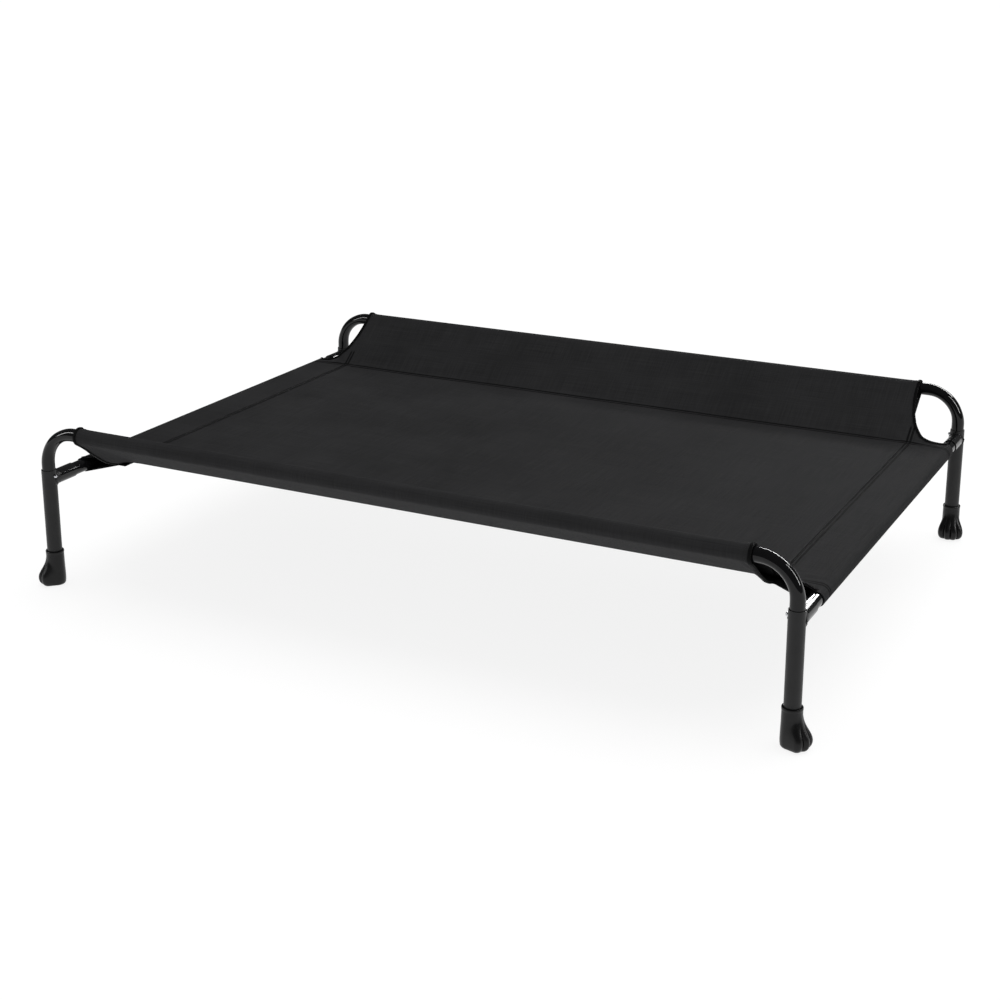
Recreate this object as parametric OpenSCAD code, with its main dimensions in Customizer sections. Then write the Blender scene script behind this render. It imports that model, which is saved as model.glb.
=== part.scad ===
// Raised dog bed: a frame of round steel tubes that plug together, a sling of
// woven mesh stretched inside it, and four rubber paw feet.
// X runs along the long side, Y from front to back, Z up, in millimetres.
// The origin is on the floor, midway between the four legs.

/* [Legs] */
// Spacing of the leg axes along the long side
leg_span_x = 1300; // [900:10:1400]
// Spacing of the leg axes along the short side
leg_span_y = 924; // [600:2:1000]
// Height of the upper ends of the leg tubes
leg_top_z = 204; // [195:1:230]
// Outer diameter of the leg tubes
leg_d = 25; // [25:0.1:25.4]
// Wall of every tube
wall = 1.2; // [1:0.1:1.2]
// Radial gap between a tube and the one that plugs into it
plug_gap = 0.3; // [0.2:0.05:0.3]

/* [Rails] */
// Height of the axes of the two long rails
rail_z = 272; // [270:1:295]
// Radius of the rail's bend, at the tube's axis
bend_r = 58; // [50:1:62]
// Length of a long rail's end inside its leg
plug_depth = 60; // [50:1:80]
// Length of the reduced end that joins the two halves of a long rail
swage_length = 60; // [50:1:80]
// Height of the axes of the two end rails
end_rail_z = 187; // [180:1:190]
// Reach of a leg's welded socket, from the leg's axis
socket_reach = 56; // [40:1:65]

/* [Sling] */
// Thickness of one layer of the mesh
fabric_t = 1.5; // [1:0.1:2]
// Distance from a long rail's axis to the edge of the flat deck
slope_reach = 110; // [100:1:130]
// Distance from an end rail's axis to the edge of the flat deck
hem_reach = 67; // [64:1:80]
// Distance from the leg's axis to the mouth of an end sleeve
sleeve_mouth = 76; // [70:1:90]
// Radius of the scooped corner
scoop_r = 37; // [34:1:40]

/* [Feet] */
// Height of the rubber feet
foot_h = 61; // [55:1:65]
// Diameter of a foot's rim
foot_rim_d = 30; // [29:0.5:32]
// Distance from the leg's axis to the tip of a toe
toe_reach = 29; // [26:0.5:32]
// Radius of a toe
toe_r = 8; // [7:0.5:9]
// Turn of the front left foot: toes straight out along the long side at 0, to the front at -90
front_left_foot_turn = -30; // [-90:1:90]
// Turn of the front right foot, counted in the same way
front_right_foot_turn = 0; // [-90:1:90]
// Turn of the back feet, whose toes point towards the front feet at 90
back_foot_turn = 73; // [-90:1:90]

/* [Snap buttons] */
// Diameter of a snap button
button_d = 6.4; // [5:0.1:7]
// Height that a button stands out of the outer tube
button_proud = 4; // [3:0.5:4.5]
// Distance from the leg's upper end down to its button
button_drop = 10; // [8:1:14]

/* [Hidden] */
$fn = 64;

LEFT = -1;
RIGHT = 1;
FRONT = -1;
BACK = 1;

// Frame
half_x = leg_span_x / 2;
half_y = leg_span_y / 2;
leg_bore = leg_d - 2 * wall;
rail_d = leg_bore - 2 * plug_gap;
rail_bore = rail_d - 2 * wall;
swage_gap = 0.2;
swage_d = rail_bore - 2 * swage_gap;
swage_bore = swage_d - 2 * wall;
swage_taper = 8;
overcut = 0.01;
bend_z = rail_z - bend_r;
plug_z = leg_top_z - plug_depth;
socket_d = leg_d - 0.2;
socket_floor = leg_d / 2 + wall;
end_rail_gap = 2.5;

// Feet
foot_floor = 8;
foot_gap = 0.1;
foot_edge_r = 4;
foot_waist_d = foot_rim_d + 2;
foot_waist_z = 20;
foot_taper = 0.5;
foot_neck_z = 40;
rim_edge_r = 0.8;
toe_tip_z = 10;
toe_root_r = 6.5;
toe_root_z = 36;
toe_fan = [-42, -14, 14, 42];

// Sling
sleeve_gap = 0.3;
sleeve_steps = 18;
sleeve_r = rail_d / 2 + sleeve_gap + fabric_t;
deck_t = 1.8;
deck_top = end_rail_z + sleeve_r;
scoop_x = 25;
scoop_y = 58;
binding_t = 2.3;
binding_gap = 0.1;
binding_h = 3.2;
binding_from = 5;
binding_to = 120;

// Snap buttons, each along its own +Z from its tube's axis
hole_d = button_d + 0.6;
flange_d = 9;
flange_t = 0.8;
flange_gap = 0.5;
middle_x = swage_length / 2;
middle_proud = 4;
spring_t = 0.7;
spring_w = 6;
spring_length = 30;
spring_overrun = 6;
spring_gap = 0.1;
bow_r = 2.2;
bow_steps = 12;

steel_gloss = [0.03, 0.03, 0.035];
steel_satin = [0.12, 0.12, 0.13];
mesh_black = [0.17, 0.17, 0.18];
tape_black = [0.07, 0.07, 0.075];
rubber_black = [0.1, 0.1, 0.105];
zinc = [0.72, 0.73, 0.75];

// Placing -------------------------------------------------------------------

module flip_if(flag, axis) {
    if (flag)
        mirror(axis) children();
    else
        children();
}

// A corner's own frame: the origin on the floor under the leg, +X inwards along
// the long side and +Y inwards along the short side.
module at_corner(side, end) {
    translate([side * half_x, end * half_y, 0])
        flip_if(side == RIGHT, [1, 0, 0])
            flip_if(end == BACK, [0, 1, 0])
                children();
}

// The line of a leg's snap button: +Z runs inwards from the leg's axis.
module at_leg_button(side, end) {
    at_corner(side, end)
        translate([0, 0, leg_top_z - button_drop])
            rotate([0, 90, 0])
                children();
}

// The line of a long rail's middle button, which points down and inwards, into
// the empty part of the sleeve.
module at_middle_button(end) {
    flip_if(end == BACK, [0, 1, 0])
        translate([middle_x, -half_y, rail_z])
            rotate([-90 - slope_angle(), 0, 0])
                children();
}

// Tubes ---------------------------------------------------------------------

module ring(outer, inner) {
    difference() {
        circle(d = outer);
        circle(d = inner);
    }
}

module leg(side, end) {
    height = leg_top_z - foot_floor;
    color(steel_satin)
        difference() {
            at_corner(side, end)
                difference() {
                    union() {
                        translate([0, 0, foot_floor])
                            cylinder(d = leg_d, h = height);
                        translate([0, 0, end_rail_z])
                            rotate([-90, 0, 0])
                                cylinder(d = socket_d, h = socket_reach);
                    }
                    translate([0, 0, foot_floor - 1])
                        cylinder(d = leg_bore, h = height + 2);
                    translate([0, socket_floor, end_rail_z])
                        rotate([-90, 0, 0])
                            cylinder(d = leg_bore, h = socket_reach);
                }
            at_leg_button(side, end)
                cylinder(d = hole_d, h = leg_d);
        }
}

// A long rail's half in its corner's frame, from the plug in the leg over the
// bend and along to the middle of the bed.
module bent_rail() {
    translate([0, 0, plug_z])
        linear_extrude(bend_z - plug_z)
            ring(rail_d, rail_bore);
    translate([bend_r, 0, bend_z])
        rotate([90, 0, 0])
            rotate([0, 0, 90])
                rotate_extrude(angle = 90)
                    translate([bend_r, 0])
                        ring(rail_d, rail_bore);
    translate([bend_r, 0, rail_z])
        rotate([0, 90, 0])
            linear_extrude(half_x - bend_r)
                ring(rail_d, rail_bore);
}

// The reduced end of a left half, which plugs into the right half.
module swage() {
    translate([half_x - swage_taper, 0, rail_z])
        rotate([0, 90, 0])
            difference() {
                union() {
                    cylinder(d = rail_d - wall, h = swage_taper);
                    cylinder(d = swage_d, h = swage_taper + swage_length);
                }
                translate([0, 0, -overcut])
                    cylinder(d1 = rail_bore, d2 = swage_bore, h = swage_taper);
                cylinder(d = swage_bore, h = swage_taper + swage_length + 1);
            }
}

module long_rail(side, end) {
    color(steel_gloss)
        difference() {
            at_corner(side, end)
                union() {
                    bent_rail();
                    if (side == LEFT)
                        swage();
                }
            at_leg_button(side, end)
                cylinder(d = hole_d, h = leg_d);
            at_middle_button(end)
                cylinder(d = hole_d, h = leg_d);
        }
}

module end_rail(side) {
    inset = socket_floor + end_rail_gap;
    color(steel_gloss)
        translate([side * half_x, half_y - inset, end_rail_z])
            rotate([90, 0, 0])
                linear_extrude(leg_span_y - 2 * inset)
                    ring(rail_d, rail_bore);
}

// Feet ----------------------------------------------------------------------

module foot_profile() {
    waist_r = foot_waist_d / 2;
    rim_r = foot_rim_d / 2;
    difference() {
        union() {
            translate([waist_r - foot_edge_r, foot_edge_r])
                circle(r = foot_edge_r);
            polygon([
                [0, 0],
                [waist_r - foot_edge_r, 0],
                [waist_r - foot_edge_r, foot_edge_r],
                [waist_r, foot_edge_r],
                [waist_r - foot_taper, foot_waist_z],
                [rim_r, foot_neck_z],
                [rim_r, foot_h - rim_edge_r],
                [rim_r - rim_edge_r, foot_h],
                [0, foot_h]
            ]);
        }
        translate([-waist_r, 0])
            square([waist_r, foot_h]);
    }
}

// One toe along -X: a ball at the tip, and a ridge that climbs back to the leg.
module toe() {
    tip_x = toe_reach - toe_r;
    run = tip_x - toe_root_r;
    rise = toe_root_z - toe_tip_z;
    rotate([0, 0, 180])
        translate([tip_x, 0, toe_tip_z]) {
            sphere(r = toe_r);
            rotate([0, -atan2(run, rise), 0])
                cylinder(r = toe_r, h = norm([run, rise]));
        }
}

module foot(side, end) {
    front_turn = side == LEFT ? front_left_foot_turn : front_right_foot_turn;
    turn = end == FRONT ? front_turn : back_foot_turn;
    color(rubber_black)
        at_corner(side, end)
            rotate([0, 0, -turn])
                difference() {
                    union() {
                        rotate_extrude()
                            foot_profile();
                        for (angle = toe_fan)
                            rotate([0, 0, angle])
                                toe();
                    }
                    translate([0, 0, foot_floor])
                        cylinder(d = leg_d + 2 * foot_gap, h = foot_h);
                }
}

// Sling ---------------------------------------------------------------------

// Directions of the straight runs of fabric from a rail's sleeve to a point,
// over the rail's top and from under it.
function upper_run(p) = atan2(p[1], p[0]) - asin(sleeve_r / norm(p));
function lower_run(p) = atan2(p[1], p[0]) + asin(sleeve_r / norm(p));
function on_circle(r, angle) = [r * cos(angle), r * sin(angle)];
function arc(r, from, to, steps) =
    [for (i = [0:steps]) on_circle(r, from + (to - from) * i / steps)];

// How steeply the space inside a long rail's sleeve falls towards the deck.
function slope_angle() =
    -(upper_run([slope_reach, deck_top - rail_z])
      + lower_run([slope_reach, deck_top - deck_t - rail_z])) / 2;

// A sleeve's section: the rail's axis at the origin, and the seam, where both
// layers meet the deck's edge, at [reach, rise] and one deck thickness below.
module sleeve_section(reach, rise) {
    seam_top = [reach, rise];
    seam_bottom = [reach, rise - deck_t];
    upper = upper_run(seam_top);
    lower = lower_run(seam_bottom);
    inner_r = sleeve_r - fabric_t;
    half_angle = (lower - upper) / 2;
    inner_tip = on_circle(inner_r / sin(half_angle), (upper + lower) / 2);
    difference() {
        polygon(concat(
            arc(sleeve_r, upper + 90, lower + 270, sleeve_steps),
            [seam_bottom, seam_top]
        ));
        polygon(concat(
            arc(inner_r, upper + 90, lower + 270, sleeve_steps),
            [inner_tip]
        ));
    }
}

module sling_deck() {
    size_x = leg_span_x - 2 * hem_reach;
    size_y = leg_span_y - 2 * slope_reach;
    color(mesh_black)
        translate([-size_x / 2, -size_y / 2, deck_top - deck_t])
            cube([size_x, size_y, deck_t]);
}

module long_sleeve(end) {
    length = leg_span_x - 2 * hem_reach;
    color(mesh_black)
        flip_if(end == BACK, [0, 1, 0])
            translate([-length / 2, -half_y, rail_z])
                rotate([90, 0, 90])
                    linear_extrude(length)
                        sleeve_section(slope_reach, deck_top - rail_z);
}

module end_sleeve(side) {
    length = leg_span_y - 2 * sleeve_mouth;
    color(mesh_black)
        difference() {
            flip_if(side == RIGHT, [1, 0, 0])
                translate([-half_x, length / 2, end_rail_z])
                    rotate([90, 0, 0])
                        linear_extrude(length)
                            sleeve_section(hem_reach, deck_top - end_rail_z);
            for (end = [FRONT, BACK])
                at_corner(side, end)
                    translate([scoop_x, scoop_y, end_rail_z - sleeve_r])
                        cylinder(r = scoop_r, h = 4 * sleeve_r);
        }
}

// The tape that binds the scooped edge of the mesh at one corner.
module binding(side, end) {
    color(tape_black)
        at_corner(side, end)
            translate([scoop_x, scoop_y, deck_top - (deck_t + binding_h) / 2])
                rotate([0, 0, binding_from])
                    rotate_extrude(angle = binding_to - binding_from)
                        translate([scoop_r - binding_gap - binding_t, 0])
                            square([binding_t, binding_h]);
}

// Snap buttons --------------------------------------------------------------

function flange_top(bore) = sqrt(pow(bore / 2, 2) - pow(flange_d / 2, 2)) - flange_gap;

// The button along +Z: a flange inside the tube's bore, and a domed shank.
module button(bore, tip) {
    color(zinc) {
        translate([0, 0, flange_top(bore) - flange_t])
            cylinder(d = flange_d, h = flange_t);
        translate([0, 0, flange_top(bore) - flange_t])
            cylinder(d = button_d, h = tip - button_d / 2 - flange_top(bore) + flange_t);
        translate([0, 0, tip - button_d / 2])
            sphere(d = button_d);
    }
}

// A V of spring steel: one arm under the button's flange, the other against
// the far wall of the bore, and its bow along -X.
module spring(bore) {
    near = flange_top(bore) - flange_t - spring_gap;
    far = 2 * spring_gap - sqrt(pow(bore / 2, 2) - pow(spring_w / 2, 2));
    bow = [-spring_length, 0];
    outer_bow = [for (p = arc(bow_r, 90, 270, bow_steps)) p + bow];
    inner_bow = [for (p = arc(bow_r - spring_t, 270, 90, bow_steps)) p + bow];
    color(zinc)
        rotate([90, 0, 0])
            translate([0, 0, -spring_w / 2])
                linear_extrude(spring_w)
                    polygon(concat(
                        [[spring_overrun, near], [-spring_overrun, near]],
                        outer_bow,
                        [[-spring_overrun, far], [spring_overrun, far]],
                        [[spring_overrun, far + spring_t], [-spring_overrun, far + spring_t]],
                        inner_bow,
                        [[-spring_overrun, near - spring_t], [spring_overrun, near - spring_t]]
                    ));
}

module leg_button(side, end) {
    at_leg_button(side, end)
        button(rail_bore, leg_d / 2 + button_proud);
}

module middle_button(end) {
    at_middle_button(end)
        button(swage_bore, rail_d / 2 + middle_proud);
}

// A leg's spring has its bow downwards, inside the rail's plug.
module leg_spring(side, end) {
    at_leg_button(side, end)
        rotate([0, 0, 180])
            spring(rail_bore);
}

module middle_spring(end) {
    at_middle_button(end)
        spring(swage_bore);
}

leg(LEFT, FRONT);  // leg_front_left
leg(RIGHT, FRONT);  // leg_front_right
leg(LEFT, BACK);  // leg_back_left
leg(RIGHT, BACK);  // leg_back_right
foot(LEFT, FRONT);  // foot_front_left
foot(RIGHT, FRONT);  // foot_front_right
foot(LEFT, BACK);  // foot_back_left
foot(RIGHT, BACK);  // foot_back_right
long_rail(LEFT, FRONT);  // rail_front_left
long_rail(RIGHT, FRONT);  // rail_front_right
long_rail(LEFT, BACK);  // rail_back_left
long_rail(RIGHT, BACK);  // rail_back_right
end_rail(LEFT);  // end_rail_left
end_rail(RIGHT);  // end_rail_right
sling_deck();
long_sleeve(FRONT);  // sling_front_sleeve
long_sleeve(BACK);  // sling_back_sleeve
end_sleeve(LEFT);  // sling_left_sleeve
end_sleeve(RIGHT);  // sling_right_sleeve
binding(LEFT, FRONT);  // binding_front_left
binding(RIGHT, FRONT);  // binding_front_right
binding(LEFT, BACK);  // binding_back_left
binding(RIGHT, BACK);  // binding_back_right
leg_button(LEFT, FRONT);  // button_front_left
leg_button(RIGHT, FRONT);  // button_front_right
leg_button(LEFT, BACK);  // button_back_left
leg_button(RIGHT, BACK);  // button_back_right
middle_button(FRONT);  // button_front_middle
middle_button(BACK);  // button_back_middle
leg_spring(LEFT, FRONT);  // spring_front_left
leg_spring(RIGHT, FRONT);  // spring_front_right
leg_spring(LEFT, BACK);  // spring_back_left
leg_spring(RIGHT, BACK);  // spring_back_right
middle_spring(FRONT);  // spring_front_middle
middle_spring(BACK);  // spring_back_middle
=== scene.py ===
"""Looks of the raised dog bed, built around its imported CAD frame.

Metres, in the frame of the CAD: X along the long side, Y from front to back,
Z up, the origin on the floor midway between the legs.
"""

import math

import bmesh
import bpy
import numpy as np
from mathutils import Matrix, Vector, noise


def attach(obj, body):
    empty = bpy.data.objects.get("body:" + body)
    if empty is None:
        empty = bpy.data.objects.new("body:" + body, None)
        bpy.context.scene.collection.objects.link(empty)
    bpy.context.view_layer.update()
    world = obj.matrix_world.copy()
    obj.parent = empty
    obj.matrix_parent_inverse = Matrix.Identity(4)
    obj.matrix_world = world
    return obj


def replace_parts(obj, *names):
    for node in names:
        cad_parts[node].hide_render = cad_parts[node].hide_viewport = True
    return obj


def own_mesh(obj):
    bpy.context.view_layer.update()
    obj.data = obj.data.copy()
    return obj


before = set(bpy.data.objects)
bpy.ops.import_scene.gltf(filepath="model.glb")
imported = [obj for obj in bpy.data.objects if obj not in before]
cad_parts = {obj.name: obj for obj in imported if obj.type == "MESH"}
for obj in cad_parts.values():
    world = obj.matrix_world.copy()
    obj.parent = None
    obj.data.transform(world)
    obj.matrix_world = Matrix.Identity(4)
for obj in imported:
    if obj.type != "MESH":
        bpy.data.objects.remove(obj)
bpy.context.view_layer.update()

MM = 0.001
LEFT, RIGHT, FRONT, BACK = -1, 1, -1, 1
CORNERS = {
    "front_left": (LEFT, FRONT),
    "front_right": (RIGHT, FRONT),
    "back_left": (LEFT, BACK),
    "back_right": (RIGHT, BACK),
}

# The CAD's sizes, in metres.
HALF_X = 0.650
HALF_Y = 0.462
LEG_R = 0.0125
LEG_TOP = 0.204
RAIL_R = 0.011
WALL = 0.0012
RAIL_Z = 0.272
BEND_R = 0.058
PLUG_Z = 0.144
END_RAIL_Z = 0.187
SOCKET_R = 0.0124
SLEEVE_R = 0.0128
DECK_Z = 0.1998
SLOPE_REACH = 0.110
BUTTON_Z = 0.194
HOLE_R = 0.0035
SWAGE_R = 0.0096
SWAGE_BORE_R = 0.0084
SWAGE_TAPER = 0.008
SWAGE_LENGTH = 0.060
MIDDLE_BUTTON_X = 0.030
# How steeply the middle buttons point down, into the slopes' sleeves.
MIDDLE_BUTTON_FALL = math.radians(33.63)

# The sling: its thickness, how far the cloth goes on under the deck past a seam,
# the end sleeves' seams and the long sleeves' ends as insets from the legs' axes,
# and the width of the hem at a long sleeve's mouth.
CLOTH = 0.0012
ALLOWANCE = 0.014
HEM_REACH = {LEFT: 0.075, RIGHT: 0.061}
SLEEVE_END = {
    (LEFT, FRONT): 0.070, (RIGHT, FRONT): 0.064, (LEFT, BACK): 0.070, (RIGHT, BACK): 0.071,
}
MOUTH_HEM = 0.011
# Half the deck's width between the creases of the two long sides.
DECK_HALF = HALF_Y - SLOPE_REACH
# Stitch rows, as distances from the crease or from the end sleeve's seam.
DECK_ROWS = (-0.004, 0.002)
HEM_ROWS = (-0.003, 0.003)
# How far up the slope the end sleeves' rows go on, from the crease.
HEM_ROWS_END = 0.032
# Angle over which an edge is shown sharp.
SHARP = 35


# Meshes ----------------------------------------------------------------------


def smoothstep(x, low=0.0, high=1.0):
    t = np.clip((np.asarray(x, float) - low) / (high - low), 0, 1)
    return t * t * (3 - 2 * t)


def grid_faces(rows, cols, start=0, wrap_cols=False, wrap_rows=False):
    """Quads of a grid of vertices stored row by row."""
    faces = []
    for r in range(rows if wrap_rows else rows - 1):
        for c in range(cols if wrap_cols else cols - 1):
            r2, c2 = (r + 1) % rows, (c + 1) % cols
            faces.append((
                start + r * cols + c,
                start + r * cols + c2,
                start + r2 * cols + c2,
                start + r2 * cols + c,
            ))
    return faces


def tube_faces(rings, sides, start=0):
    """Faces of a tube of rings, closed by a flat cap at each end."""
    faces = grid_faces(rings, sides, start, wrap_cols=True)
    last = start + (rings - 1) * sides
    faces.append(tuple(range(start, start + sides)))
    faces.append(tuple(range(last, last + sides)))
    return faces


def round_angles(count):
    """Even angles round a full turn."""
    return [2 * math.pi * k / count for k in range(count)]


def new_object(name, data):
    obj = bpy.data.objects.new(name, data)
    bpy.context.scene.collection.objects.link(obj)
    return obj


def piece(name, verts, faces, material, sharp=SHARP, uvs=None):
    """A shown piece of the frame's body, smooth but for edges over `sharp` degrees."""
    mesh = bpy.data.meshes.new(name)
    mesh.from_pydata([tuple(map(float, v)) for v in verts], [], faces)
    obj = new_object(name, mesh)
    if uvs is not None:
        layer = mesh.uv_layers.new(name="weave")
        index = np.zeros(len(mesh.loops), int)
        mesh.loops.foreach_get("vertex_index", index)
        layer.data.foreach_set("uv", np.asarray(uvs, float)[index].ravel())
    mesh.materials.append(material)
    tidy_mesh(obj, sharp)
    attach(obj, "frame")
    return obj


def tidy_mesh(obj, sharp, outwards=True):
    weld(obj, 0.001 * MM, outwards)
    shade(obj, sharp)


def weld(obj, distance, outwards=False):
    """Joins vertices closer than the distance and may turn the faces outwards."""
    bm = bmesh.new()
    bm.from_mesh(obj.data)
    bmesh.ops.remove_doubles(bm, verts=bm.verts, dist=distance)
    if outwards:
        bmesh.ops.recalc_face_normals(bm, faces=bm.faces)
    bm.to_mesh(obj.data)
    bm.free()


def shade(obj, sharp):
    obj.data.polygons.foreach_set("use_smooth", [True] * len(obj.data.polygons))
    obj.data.set_sharp_from_angle(angle=math.radians(sharp))


def apply_modifiers(obj):
    depsgraph = bpy.context.evaluated_depsgraph_get()
    mesh = bpy.data.meshes.new_from_object(obj.evaluated_get(depsgraph))
    obj.modifiers.clear()
    obj.data = mesh


# Materials -------------------------------------------------------------------


class Paint:
    """A Principled material and short ways to add nodes to it."""

    def __init__(self, name, colour, roughness, **sockets):
        self.material = bpy.data.materials.new(name)
        self.material.use_nodes = True
        self.tree = self.material.node_tree
        self.shader = self.tree.nodes["Principled BSDF"]
        self.shader.inputs["Base Color"].default_value = (*colour, 1)
        self.shader.inputs["Roughness"].default_value = roughness
        for key, value in sockets.items():
            self.shader.inputs[key.replace("_", " ")].default_value = value

    def add(self, kind, inputs=None, **settings):
        made = self.tree.nodes.new("ShaderNode" + kind)
        for key, value in settings.items():
            setattr(made, key, value)
        for key, value in (inputs or {}).items():
            if isinstance(value, bpy.types.NodeSocket):
                self.tree.links.new(value, made.inputs[key])
            else:
                made.inputs[key].default_value = value
        return made.outputs

    def math(self, operation, a, b=0.0, c=0.0):
        return self.add("Math", {0: a, 1: b, 2: c}, operation=operation)[0]

    def place(self):
        return self.add("TexCoord")["Object"]

    def cloth_place(self):
        """The place on the flat cloth, whole and split into its coordinates."""
        uv = self.add("UVMap", uv_map="weave")["UV"]
        return uv, self.add("SeparateXYZ", {0: uv})

    def stretch(self, vector, scale):
        return self.add("Mapping", {"Vector": vector, "Scale": scale})[0]

    def noise(self, vector, scale, detail=2.0, roughness=0.5):
        return self.add("TexNoise", {
            "Vector": vector, "Scale": scale, "Detail": detail, "Roughness": roughness,
        })["Fac"]

    def spread(self, value, low, high, to_low, to_high):
        return self.add("MapRange", {
            "Value": value, "From Min": low, "From Max": high,
            "To Min": to_low, "To Max": to_high,
        })["Result"]

    def mix(self, factor, colour_a, colour_b):
        """Two colours or sockets mixed by a factor, at a Mix node's inputs 6 and 7."""
        inputs = {"Factor": factor, 6: colour_a, 7: colour_b}
        for key in (6, 7):
            if isinstance(inputs[key], tuple):
                inputs[key] = (*inputs[key], 1)
        return self.add("Mix", inputs, data_type="RGBA")[2]

    def bump(self, height, distance, strength=1.0, under=None):
        inputs = {"Height": height, "Distance": distance, "Strength": strength}
        if under is not None:
            inputs["Normal"] = under
        return self.add("Bump", inputs)["Normal"]

    def to(self, socket, output):
        self.tree.links.new(output, self.shader.inputs[socket])


# Pitches of the weave's yarns and of the tape's ribs. The painted shade in the groove at a stitch
# row is darkest up to GROOVE_HALF from its middle and fades out at GROOVE_EDGE.
YARN_PITCH = 0.9 * MM
RIB_PITCH = 1.1 * MM
GROOVE_PAINTED_SHADE, GROOVE_HALF, GROOVE_EDGE = 0.95, 0.9 * MM, 2.3 * MM


def weave_paint():
    """Charcoal woven mesh: coated yarns over and under each other, with painted shade in the
    stitch rows' grooves.
    """
    paint = Paint("sling_weave", (0.022, 0.022, 0.0228), 0.72, Specular_IOR_Level=0.02)
    uv, split = paint.cloth_place()
    waves = [
        paint.math("SINE", paint.math("MULTIPLY", split[k], math.pi / YARN_PITCH))
        for k in (0, 1)
    ]
    over = paint.math("MULTIPLY", waves[0], waves[1])
    twist = paint.noise(uv, 2500, 1)
    height = paint.math("ADD", over, paint.math("MULTIPLY", twist, 0.35))
    place = paint.place()
    cloud = paint.noise(place, 5.5, 4, 0.6)
    slubs = [
        paint.noise(paint.stretch(uv, scale), 1.0, 2)
        for scale in ((9, 520, 1), (520, 12, 1))
    ]
    slub = paint.math("ADD", *slubs)
    tone = paint.math("ADD", paint.math("MULTIPLY", cloud, 0.4),
                      paint.math("MULTIPLY", slub, 0.3))
    yarns = paint.mix(paint.spread(over, -1, 1, 0, 1), (0.0145, 0.0145, 0.015),
                      (0.028, 0.028, 0.029))
    worn = paint.mix(paint.spread(tone, 0.40, 0.60, 0.0, 0.65), yarns,
                     (0.036, 0.036, 0.0373))
    # Painted shade: the base colour is darkened along the stitch rows' grooves.
    painted_shade = paint.mix(painted_seam_shade(paint, split), worn, (0.004, 0.004, 0.0042))
    paint.to("Base Color", painted_shade)
    paint.to("Roughness", paint.spread(cloud, 0.3, 0.7, 0.66, 0.78))
    soft = paint.bump(cloud, 1.2 * MM, 0.25)
    paint.to("Normal", paint.bump(height, 0.16 * MM, 0.7, soft))
    return paint.material


def painted_seam_shade(paint, split):
    """Painted shade: how dark the cloth is painted in the grooves that the stitch rows pull in it.
    """
    def groove(coordinate, row):
        off = paint.math("ABSOLUTE", paint.math("SUBTRACT", coordinate, row))
        return paint.spread(off, GROOVE_HALF, GROOVE_EDGE, GROOVE_PAINTED_SHADE, 0)

    across = paint.math("ABSOLUTE", split[1])
    shades = [groove(across, DECK_HALF + row) for row in DECK_ROWS]
    rows_end = DECK_HALF + HEM_ROWS_END
    before_end = paint.spread(across, rows_end + 2 * MM, rows_end + 8 * MM, 1, 0)
    for side in (LEFT, RIGHT):
        for row in HEM_ROWS:
            painted_shade_here = groove(split[0], side * (HALF_X - HEM_REACH[side] - row))
            shades.append(paint.math("MULTIPLY", painted_shade_here, before_end))
    darkest = shades[0]
    for other in shades[1:]:
        darkest = paint.math("MAXIMUM", darkest, other)
    return darkest


def tape_paint():
    """Black binding tape with a fine rib along its length."""
    paint = Paint("tape_rib", (0.004, 0.004, 0.0042), 0.62, Specular_IOR_Level=0.04)
    uv, split = paint.cloth_place()
    rib = paint.math("SINE", paint.math("MULTIPLY", split[0], 2 * math.pi / RIB_PITCH))
    fuzz = paint.noise(uv, 1800, 2)
    colour = paint.mix(paint.spread(rib, -1, 1, 0, 1), (0.0025, 0.0025, 0.0027),
                       (0.0075, 0.0075, 0.0078))
    paint.to("Base Color", colour)
    paint.to("Roughness", paint.spread(fuzz, 0.3, 0.7, 0.55, 0.72))
    paint.to("Normal", paint.bump(paint.math("ADD", rib, fuzz), 0.12 * MM, 0.7))
    return paint.material


def thread_paint():
    """Black sewing thread with a twist."""
    paint = Paint("stitch_thread", (0.006, 0.006, 0.006), 0.5, Specular_IOR_Level=0.2)
    twist = paint.noise(paint.place(), 3000, 1)
    paint.to("Base Color", paint.mix(twist, (0.004, 0.004, 0.004), (0.012, 0.012, 0.0125)))
    paint.to("Normal", paint.bump(twist, 0.08 * MM, 0.6))
    return paint.material


def satin_paint():
    """Satin black powder coat on the legs, with faint scuffs; their sockets shine."""
    paint = Paint("powder_coat", (0.009, 0.009, 0.0094), 0.4, Specular_IOR_Level=0.3)
    place = paint.place()
    peel = paint.noise(place, 900, 2)
    wave = paint.noise(place, 60, 2)
    scuff = paint.noise(paint.stretch(place, (30, 30, 140)), 1.0, 6, 0.7)
    marks = paint.spread(scuff, 0.62, 0.75, 0, 0.5)
    paint.to("Base Color", paint.mix(marks, (0.009, 0.009, 0.0095), (0.022, 0.022, 0.023)))
    coat = paint.math(
        "ADD", paint.spread(wave, 0.3, 0.7, 0.36, 0.46), paint.math("MULTIPLY", marks, 0.2))
    # The sockets are the part of a leg that reaches inwards of its own tube.
    from_middle = paint.math("ABSOLUTE", paint.add("SeparateXYZ", {0: place})[1])
    shine = paint.spread(from_middle, HALF_Y - 0.018, HALF_Y - 0.015, 0.28, 0)
    paint.to("Roughness", paint.math("SUBTRACT", coat, shine))
    paint.to("Normal", paint.bump(peel, 0.10 * MM, 0.35))
    return paint.material


def gloss_paint():
    """Gloss black enamel on the rails, with a long shallow orange peel."""
    paint = Paint("gloss_enamel", (0.004, 0.004, 0.0045), 0.1, Specular_IOR_Level=0.27)
    place = paint.place()
    peel = paint.noise(place, 260, 2)
    rub = paint.noise(place, 90, 5, 0.75)
    haze = paint.spread(rub, 0.55, 0.8, 0, 1)
    paint.to("Base Color", paint.mix(haze, (0.004, 0.004, 0.0045), (0.012, 0.012, 0.0125)))
    paint.to("Roughness", paint.spread(haze, 0, 1, 0.06, 0.15))
    paint.to("Normal", paint.bump(peel, 0.10 * MM, 0.14))
    return paint.material


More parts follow.
